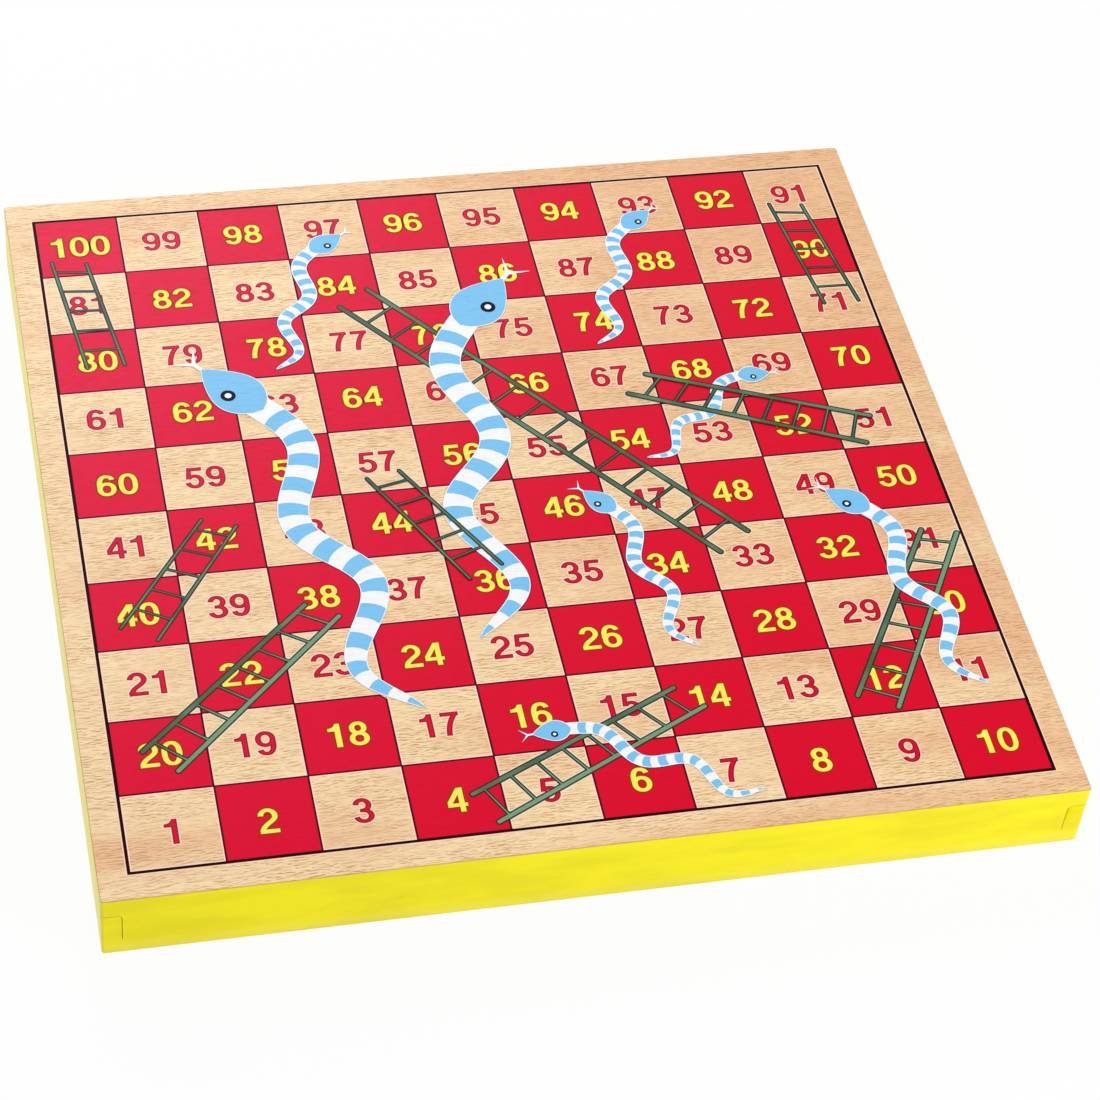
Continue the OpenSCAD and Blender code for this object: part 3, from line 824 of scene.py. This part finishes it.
def digit_shapes(digit, grow):
    """The shapes of a digit, one unit high and centred on x = 0, wider by grow all round."""
    if digit == 0:
        return stroke(arc((0, 0.5), (0.245, 0.436), 0, 360, 2.35), grow, closed=True)
    if digit == 1:
        flag = curve((0.01, 1), (-0.03, 0.86), (-0.12, 0.82), (-0.255, 0.815), 5)
        return outline([(-0.028, 0), (0.17, 0), (0.17, 1), *flag, (-0.255, 0.69), (-0.028, 0.69)], grow)
    if digit == 2:
        path = arc((-0.005, 0.697), (0.232, 0.24), 176, -18)
        path += curve(path[-1], (0.15, 0.44), (-0.19, 0.36), (-0.222, 0.1))[1:]
        return stroke(path, grow) + bar((-0.315, 0.078), (0.32, 0.078), 0.078, grow)
    if digit == 3:
        upper = arc((-0.01, 0.72), (0.212, 0.215), 172, -90)
        lower = arc((-0.005, 0.283), (0.243, 0.22), 90, -172)
        return stroke(upper, grow) + stroke(lower, grow) + bar((-0.105, 0.505), (0.0, 0.505), 0.066, grow)
    if digit == 4:
        stem = bar((0.145, 0), (0.145, 1.0), 0.09, grow)
        level = bar((-0.33, 0.29), (0.33, 0.29), 0.073, grow)
        slope = [(-0.33, 0.25), (-0.233, 0.25), (0.12, 0.82), (0.12, 1), (0.03, 1), (-0.33, 0.42)]
        return stem + level + outline(slope, grow)
    if digit == 5:
        top = bar((-0.215, 0.922), (0.285, 0.922), 0.078, grow)
        stem = outline([(-0.29, 0.46), (-0.125, 0.46), (-0.075, 0.9), (-0.226, 1)], grow)
        bowl = stroke(arc((-0.005, 0.33), (0.243, 0.262), 146, -170), grow)
        return top + stem + bowl
    if digit == 6:
        ring = stroke(arc((0.0, 0.323), (0.24, 0.258), 0, 360, 2.1), grow, closed=True)
        path = arc((0.0, 0.5), (0.242, 0.436), 190, 90, 2.3)
        path += arc((0.0, 0.75), (0.215, 0.186), 90, 6)[1:]
        return ring + stroke(path, grow)
    if digit == 7:
        top = bar((-0.3, 0.918), (0.31, 0.918), 0.08, grow)
        return top + stroke(curve((0.225, 0.93), (0.0, 0.66), (-0.09, 0.34), (-0.105, 0.0)), grow)
    if digit == 8:
        upper = stroke(arc((0, 0.735), (0.2, 0.2), 0, 360, 2.1), grow, closed=True)
        return upper + stroke(arc((0, 0.288), (0.24, 0.223), 0, 360, 2.1), grow, closed=True)
    return [[(-x, 1 - y) for x, y in shape] for shape in digit_shapes(6, grow)]


print("shapes in each digit:", [len(digit_shapes(digit, 0)) for digit in range(10)])


# %% [markdown]
# ## Where the numbers stand
# The chart counts like a plough: from left to right in the front row, back from right to left in the
# next, and so on up to 100. Even numbers fall on red squares. Each digit is one point with its place, its
# value and its size; the single 100 is a little larger than the rest and set closer. Some rows of numbers
# lie a bit above or below the middle of their squares.

# %% Places of the digits
# A digit's height and the step to the next one, in millimetres, and the 100's scale and step
DIGIT_HIGH = 9.1
DIGIT_STEP = 6.92
LARGE = 1.05
LARGE_STEP = 7.1
# How far each row's numbers stand above the middle of their squares, as shares of a square, from the front
ROW_SHARES = (-0.035, 0.0, -0.005, -0.015, 0.0, -0.03, 0.035, -0.005, -0.03, 0.013)


def number_square(number):
    """The column and the row of a number's square, from the front left corner."""
    row, along = divmod(number - 1, SQUARES)
    return (along if row % 2 == 0 else SQUARES - 1 - along), row


def digit_places(numbers):
    """For each digit of the numbers: x and y in millimetres, the digit and its size."""
    places = []
    for number in numbers:
        column, row = number_square(number)
        large = number == SQUARES * SQUARES
        size = LARGE if large else 1.0
        step = LARGE_STEP if large else DIGIT_STEP
        digits = [int(c) for c in str(number)]
        x = (column + 0.5) * SQUARE - HALF_GRID - step * (len(digits) - 1) / 2
        y = (row + 0.5 + ROW_SHARES[row]) * SQUARE - HALF_GRID - DIGIT_HIGH * size / 2
        places += [(x + step * i, y, digit, size) for i, digit in enumerate(digits)]
    return places


EVEN_PLACES = digit_places(range(2, SQUARES * SQUARES + 1, 2))
ODD_PLACES = digit_places(range(1, SQUARES * SQUARES, 2))
print("digits on red:", len(EVEN_PLACES), "on wood:", len(ODD_PLACES))

# %% [markdown]
# ## Copies by Geometry Nodes
# Every digit appears about twenty times, and the pale frame inside each wood square fifty times. Geometry
# Nodes set such copies: a tree takes points, picks for each point the shape that its number names, scales
# it, and makes the copies real with their ink. The tree is built once and used for all of them.

# %% The tree that sets copies
def copies_tree():
    """A tree that sets a shape on every place, made real and inked."""
    tree = bpy.data.node_groups.new("copies_on_places", "GeometryNodeTree")
    tree.interface.new_socket("Places", in_out="INPUT", socket_type="NodeSocketGeometry")
    tree.interface.new_socket("Shapes", in_out="INPUT", socket_type="NodeSocketCollection")
    tree.interface.new_socket("Ink", in_out="INPUT", socket_type="NodeSocketMaterial")
    tree.interface.new_socket("Copies", in_out="OUTPUT", socket_type="NodeSocketGeometry")
    given = add(tree, "NodeGroupInput").outputs
    shapes = add(tree, "GeometryNodeCollectionInfo", {"Collection": given["Shapes"]})
    shapes.inputs["Separate Children"].default_value = True
    shapes.inputs["Reset Children"].default_value = True
    pick = add(tree, "GeometryNodeInputNamedAttribute", {"Name": "pick"}, data_type="INT").outputs[0]
    size = add(tree, "GeometryNodeInputNamedAttribute", {"Name": "size"}, data_type="FLOAT").outputs[0]
    scale = add(tree, "ShaderNodeCombineXYZ", {"X": size, "Y": size, "Z": 1.0}).outputs[0]
    settings = {
        "Points": given["Places"],
        "Instance": shapes.outputs[0],
        "Pick Instance": True,
        "Instance Index": pick,
        "Scale": scale,
    }
    copies = add(tree, "GeometryNodeInstanceOnPoints", settings).outputs[0]
    real = add(tree, "GeometryNodeRealizeInstances", {"Geometry": copies}).outputs[0]
    inked = add(tree, "GeometryNodeSetMaterial", {"Geometry": real, "Material": given["Ink"]}).outputs[0]
    add(tree, "NodeGroupOutput", {"Copies": inked})
    return tree


COPIES = copies_tree()
INPUTS = {s.name: s.identifier for s in COPIES.interface.items_tree if s.in_out == "INPUT"}


def set_copies(name, shapes, places, material):
    """Runs the tree on the places, and gives the result as a plain mesh."""
    collection = bpy.data.collections.new(name + "_shapes")
    objects = [bpy.data.objects.new(f"{name}_{i}", mesh) for i, mesh in enumerate(shapes)]
    for shape in objects:
        collection.objects.link(shape)
    points = bpy.data.meshes.new(name + "_places")
    points.from_pydata([(x * MM, y * MM, 0) for x, y, _, _ in places], [], [])
    points.attributes.new("pick", "INT", "POINT").data.foreach_set("value", [p[2] for p in places])
    points.attributes.new("size", "FLOAT", "POINT").data.foreach_set("value", [p[3] for p in places])
    carrier = bpy.data.objects.new(name + "_carrier", points)
    bpy.context.scene.collection.objects.link(carrier)
    modifier = carrier.modifiers.new("copies", "NODES")
    modifier.node_group = COPIES
    modifier[INPUTS["Shapes"]] = collection
    modifier[INPUTS["Ink"]] = material
    bpy.context.view_layer.update()
    seen = carrier.evaluated_get(bpy.context.evaluated_depsgraph_get())
    mesh = bpy.data.meshes.new_from_object(seen)
    mesh.name = name
    for attribute in [a.name for a in mesh.attributes if a.name in ("pick", "size")]:
        mesh.attributes.remove(mesh.attributes[attribute])
    for leftover in [carrier, *objects]:
        bpy.data.objects.remove(leftover)
    bpy.data.collections.remove(collection)
    return mesh


print("inputs of the tree:", list(INPUTS))

# %% [markdown]
# ## The numbers
# Each number is printed more than once. Under the digits of the wood squares lies a slightly larger, pale
# pink digit, which leaves a pale edge, and the digit itself is crimson at its edge and red in the middle
# of its strokes. The yellow digits of the red squares overlap the red a little, and the two inks leave a
# thin brown edge round them.

# %% Print the numbers
# Heights over the board, in millimetres, of the solids' ink and of the pale films that lie under others
INK_HIGH = 0.06
PALE_HIGH = 0.03
# Films that meet are kept so far apart
STEP_UP = 0.01


def digit_films(name, grow_mm, low, high):
    """The ten digits as films, grown all round by so many millimetres."""
    films = []
    for digit in range(10):
        points, triangles, sources = triangulate(digit_shapes(digit, grow_mm / DIGIT_HIGH))
        points, triangles = simplified(points, [t for t, s in zip(triangles, sources) if s])
        places = [(p[0] * DIGIT_HIGH, p[1] * DIGIT_HIGH) for p in points]
        films.append(film_mesh(f"{name}_{digit}", places, triangles, low, high))
    return films


for name, places, grow_mm, low, high, film, slot in (
    ("number_edges_on_wood", ODD_PLACES, 0.42, 0, PALE_HIGH, PINK_EDGE, "white_ink"),
    ("numbers_on_wood", ODD_PLACES, 0.05, 0, INK_HIGH - STEP_UP, CRIMSON_INK, "red_ink"),
    ("number_cores_on_wood", ODD_PLACES, -0.42, 0, INK_HIGH, RED_INK, "red_ink"),
    ("number_edges_on_red", EVEN_PLACES, 0.58, INK_HIGH, INK_HIGH + 2 * STEP_UP, BROWN_EDGE, "red_ink"),
    ("numbers_on_red", EVEN_PLACES, -0.02, INK_HIGH, INK_HIGH + 4 * STEP_UP, YELLOW_INK, "yellow_paint"),
):
    films = digit_films(name, grow_mm, BOX_TOP + low, BOX_TOP + high)
    mesh = set_copies(name, films, places, film)
    add_film(name, mesh, film)
    print(name, len(mesh.polygons), "faces")

# %% [markdown]
# ## Pale frames in the wood squares
# The white that lies under the print looks out a little inside each line of a wood square, and outside
# the border.

# %% Frames
FRAME_WIDE = 0.42
# How far the border line reaches out of the chart, how much of its pale edge it covers, and how much shows
BORDER_OUT = 0.75
EDGE_HIDDEN = 0.1
EDGE_SHOWN = 0.35


def frame_film(name, outer, inner):
    """A square frame, centred on its middle."""
    corners = [(-1, -1), (1, -1), (1, 1), (-1, 1)]
    points = [(x * r, y * r) for r in (outer, inner) for x, y in corners]
    triangles = []
    for i in range(4):
        j = (i + 1) % 4
        triangles += [(i, j, j + 4), (i, j + 4, i + 4)]
    return film_mesh(name, points, triangles, BOX_TOP, BOX_TOP + PALE_HIGH)


wood_squares = [
    ((column + 0.5) * SQUARE - HALF_GRID, (row + 0.5) * SQUARE - HALF_GRID, 0, 1.0)
    for column in range(SQUARES)
    for row in range(SQUARES)
    if (column + row) % 2 == 0
]
inside = SQUARE / 2 - LINE_HALF
one_frame = frame_film("frame", inside, inside - FRAME_WIDE)
frames = set_copies("wood_square_frames", [one_frame], wood_squares, WHITE_EDGE)
add_film("wood_square_frames", frames, WHITE_EDGE)
border = HALF_GRID + BORDER_OUT
border_edge = frame_film("border_edge_on_wood", border + EDGE_SHOWN, border - EDGE_HIDDEN)
add_film("border_edge_on_wood", border_edge, WHITE_EDGE)
print("frames:", len(wood_squares))

# %% [markdown]
# ## The ladders
# A ladder is printed green over everything. Its rails look round, because the green is darker at their
# edges than in the middle. So each ladder's outline is drawn a second time further in, and every corner
# of the mesh knows whether it lies at the edge or in the middle. The same move outwards makes the white
# edge that looks out on wood. The three ladders in front look lit from the right, because their right
# rails are lighter.

# %% Outlines drawn further in or out
def top_of(name):
    """The top faces of a node, one set for each height: points in mm, triangles, height in mm."""
    bm = bmesh.new()
    bm.from_mesh(nodes[name].data)
    bmesh.ops.remove_doubles(bm, verts=bm.verts, dist=TOUCHING)
    levels = {}
    for face in bm.faces:
        if face.normal.z > 0.9:
            levels.setdefault(round(face.verts[0].co.z / MM, 3), []).append([v.index for v in face.verts])
    points = [(v.co.x / MM, v.co.y / MM) for v in bm.verts]
    bm.free()
    tops = []
    for height, triangles in sorted(levels.items()):
        used = sorted({v for t in triangles for v in t})
        place = {v: i for i, v in enumerate(used)}
        tops.append(([points[v] for v in used], [[place[v] for v in t] for t in triangles], height))
    return tops


ladder_tops = top_of("printed_ladders")
print("ladders: tops at", [height for _, _, height in ladder_tops], "mm")


def moved_out(points, triangles, distance):
    """The points with the outline moved outwards, or inwards where distance is below zero."""
    after, before = {}, {}
    for a, b in boundary(triangles):
        after[a], before[b] = b, a
    moved = [Vector(p) for p in points]
    for v in after:
        here = Vector(points[v])
        one = (here - Vector(points[before[v]])).normalized()
        two = (Vector(points[after[v]]) - here).normalized()
        lean = Vector((one.y + two.y, -one.x - two.x))
        # The larger of the two holds back the tip of a sharp corner
        moved[v] = here + lean * (distance / max(0.3, 1 + one.dot(two)))
    return moved


# %% [markdown]
# The ladder's top is a ring of narrow faces round its outline, and the middle inside it.

# %% Print the ladders
# Width of the dark edge, and how far a rail reaches to each side of its middle line and past its ends
RIM = 0.55
RAIL_HALF = 1.3
PAST_END_SHARE = 0.05
# Foot and top of each light rail, in squares from the front left corner of the chart
LIGHT_RAIL_SHARES = (
    ((0.66, 1.25), (2.68, 3.18)),
    ((3.89, 0.12), (6.42, 1.37)),
    ((8.55, 1.07), (9.95, 3.52)),
)


def on_light_rail(place):
    """1 on a light rail, and 0 elsewhere."""
    here = Vector((place[0], place[1], 0))
    for ends in LIGHT_RAIL_SHARES:
        foot, top = (Vector((x * SQUARE - HALF_GRID, y * SQUARE - HALF_GRID, 0)) for x, y in ends)
        nearest, share = intersect_point_line(here, foot, top)
        if (here - nearest).length < RAIL_HALF and -PAST_END_SHARE < share < 1 + PAST_END_SHARE:
            return 1.0
    return 0.0


def ladder_mesh():
    """The ladders with a dark rim. Each corner knows how light it is, and if it lies in the middle."""
    vertices, faces, middle, light = [], [], [], []
    for points, triangles, height in ladder_tops:
        inner = moved_out(points, triangles, -RIM)
        count, start = len(points), len(vertices)
        for ring, z in ((points, height), (inner, height), (points, height - INK_HIGH)):
            vertices += [(p[0] * MM, p[1] * MM, z * MM) for p in ring]
        middle += [0.0] * count + [1.0] * count + [0.0] * count
        light += [on_light_rail(p) for p in points] * 3
        faces += [[start + count + v for v in t] for t in triangles]
        faces += [[start + 2 * count + v for v in reversed(t)] for t in triangles]
        for a, b in boundary(triangles):
            faces.append([start + a, start + b, start + count + b, start + count + a])
            faces.append([start + a, start + 2 * count + a, start + 2 * count + b, start + b])
    mesh = bpy.data.meshes.new("ladders")
    mesh.from_pydata(vertices, [], faces)
    mesh.attributes.new("middle", "FLOAT", "POINT").data.foreach_set("value", middle)
    mesh.attributes.new("light", "FLOAT", "POINT").data.foreach_set("value", light)
    return mesh


ladders = add_film("ladders", ladder_mesh(), GREEN_INK, ["printed_ladders"])
print("ladders:", len(ladders.data.polygons), "faces")

# %% [markdown]
# The white edge lies under everything, so that the red squares hide it where a ladder crosses them. It is
# a hair higher than the frames of the squares, because two films at one height would flicker.

# %% Edges round the ladders
LADDER_EDGE = 0.45
edge_shapes = []
for points, triangles, _ in ladder_tops:
    wide = moved_out(points, triangles, LADDER_EDGE)
    edge_shapes += [[tuple(wide[v]) for v in t] for t in triangles]
points, triangles, sources = triangulate(edge_shapes)
points, triangles = simplified(points, [t for t, s in zip(triangles, sources) if s])
edge_top = BOX_TOP + PALE_HIGH + STEP_UP
white_edge = film_mesh("ladder_edges_on_wood", points, triangles, BOX_TOP, edge_top)
add_film("ladder_edges_on_wood", white_edge, WHITE_EDGE)
print("ladder edges:", len(white_edge.polygons), "faces")

# %% [markdown]
# Where a snake lies on a red square, the dark line of the squares follows it. The triangulation says
# which triangles belong both to a snake's wider outline and to a red square.

# %% Edges round the snakes, on red
SNAKE_EDGE = 0.3
snake_points, snake_triangles, _ = top_of("printed_snake_bodies")[0]
wide = moved_out(snake_points, snake_triangles, SNAKE_EDGE)
snake_shapes = [[tuple(wide[v]) for v in t] for t in snake_triangles]
red_points, red_triangles, _ = top_of("printed_red_squares")[0]
red_shapes = [[red_points[v] for v in t] for t in red_triangles]
points, triangles, sources = triangulate(snake_shapes + red_shapes)
first_red = len(snake_shapes)
both = [t for t, s in zip(triangles, sources) if s and min(s) < first_red <= max(s)]
points, triangles = simplified(points, both)
red_top = BOX_TOP + INK_HIGH
dark_edge = film_mesh("snake_edges_on_red", points, triangles, red_top, red_top + STEP_UP)
add_film("snake_edges_on_red", dark_edge, MAROON_EDGE)
print("snake edges:", len(dark_edge.polygons), "faces")

# %% [markdown]
# ## The floor
# The board stands on white paper. The paper glows for the camera, and for what gloss or glass would show
# of it, so that it stays white. For other rays it is plain paper, and it still takes the box's shadow. It
# is open where the box stands, so that the underside can be looked at.

# %% Floor
def seen_plainly(tree):
    """1 for rays from the camera, off gloss or through glass, and 0 for all others."""
    rays = add(tree, "ShaderNodeLightPath").outputs
    seen = put(tree, "maximum", rays["Is Camera Ray"], rays["Is Glossy Ray"])
    return put(tree, "maximum", seen, rays["Is Transmission Ray"])


# Half the floor's width and half its opening's, in metres, and how much of the paper's look is glow
FLOOR = 4.0
OPENING = (HALF - 0.5) * MM
GLOW_SHARE = 0.93
floor_mesh = bpy.data.meshes.new("floor")
around = ((-1, -1), (1, -1), (1, 1), (-1, 1))
floor_corners = [(x * r, y * r, 0) for r in (FLOOR, OPENING) for x, y in around]
floor_mesh.from_pydata(floor_corners, [], [(0, 1, 5, 4), (1, 2, 6, 5), (2, 3, 7, 6), (3, 0, 4, 7)])
floor = bpy.data.objects.new("floor", floor_mesh)
bpy.context.scene.collection.objects.link(floor)
floor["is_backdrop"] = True
paper = bpy.data.materials.new("white_paper")
paper.use_nodes = True
tree = paper.node_tree
shader = tree.nodes["Principled BSDF"]
shader.inputs["Base Color"].default_value = (0.9, 0.9, 0.9, 1)
shader.inputs["Roughness"].default_value = 1.0
shader.inputs["Specular IOR Level"].default_value = 0.0
share = put(tree, "multiply", seen_plainly(tree), GLOW_SHARE)
glow = add(tree, "ShaderNodeEmission", {"Color": (1, 1, 1, 1), "Strength": 1.0}).outputs[0]
mixed = add(tree, "ShaderNodeMixShader", {0: share, 1: shader.outputs[0], 2: glow}).outputs[0]
tree.links.new(mixed, tree.nodes["Material Output"].inputs["Surface"])
floor_mesh.materials.append(paper)
print("floor:", 2 * FLOOR, "m wide, open for", round(2 * OPENING, 3), "m")

# %% [markdown]
# ## World and lamps
# The light is that of a soft studio. The world is an even white, a large softbox at the front right gives
# the yellow wall its brightness, and another behind the board's left corner lays the sheen over the far
# left squares, as glossy ink shows it at a low angle.

# %% World and lamps
# What the world gives to plain surfaces, where 1 is the white that the camera sees
WORLD_LIGHT = 0.65
world = bpy.data.worlds.new("studio")
bpy.context.scene.world = world
world.use_nodes = True
tree = world.node_tree
background = tree.nodes["Background"]
strength = put(tree, "rise", seen_plainly(tree), 0.0, 1.0, WORLD_LIGHT, 1.0)
background.inputs["Color"].default_value = (1, 1, 1, 1)
tree.links.new(strength, background.inputs["Strength"])


def softbox(name, place, aim, size, watts):
    """A rectangular lamp at place that looks at aim. Places and sizes are in metres."""
    data = bpy.data.lights.new(name, "AREA")
    data.shape = "RECTANGLE"
    data.size, data.size_y = size
    data.energy = watts
    lamp = bpy.data.objects.new(name, data)
    lamp.location = place
    lamp.rotation_mode = "QUATERNION"
    lamp.rotation_quaternion = (Vector(aim) - Vector(place)).to_track_quat("-Z", "Y")
    bpy.context.scene.collection.objects.link(lamp)
    return lamp


softbox("front_right_softbox", (0.5, -0.7, 0.35), (0.05, -0.1, 0.0), (0.4, 0.4), 2.7)
softbox("back_left_softbox", (-0.22, 0.97, 0.68), (-0.12, 0.12, 0.0), (0.8, 0.55), 6.2)
bpy.context.scene.view_settings.view_transform = "Standard"

# %% [markdown]
# ## Measure
# The solids' box and the dressed model's box are both measured and written down.

# %% Measure
low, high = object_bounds()
print("visual size in mm:", [round(s / MM, 2) for s in high - low])
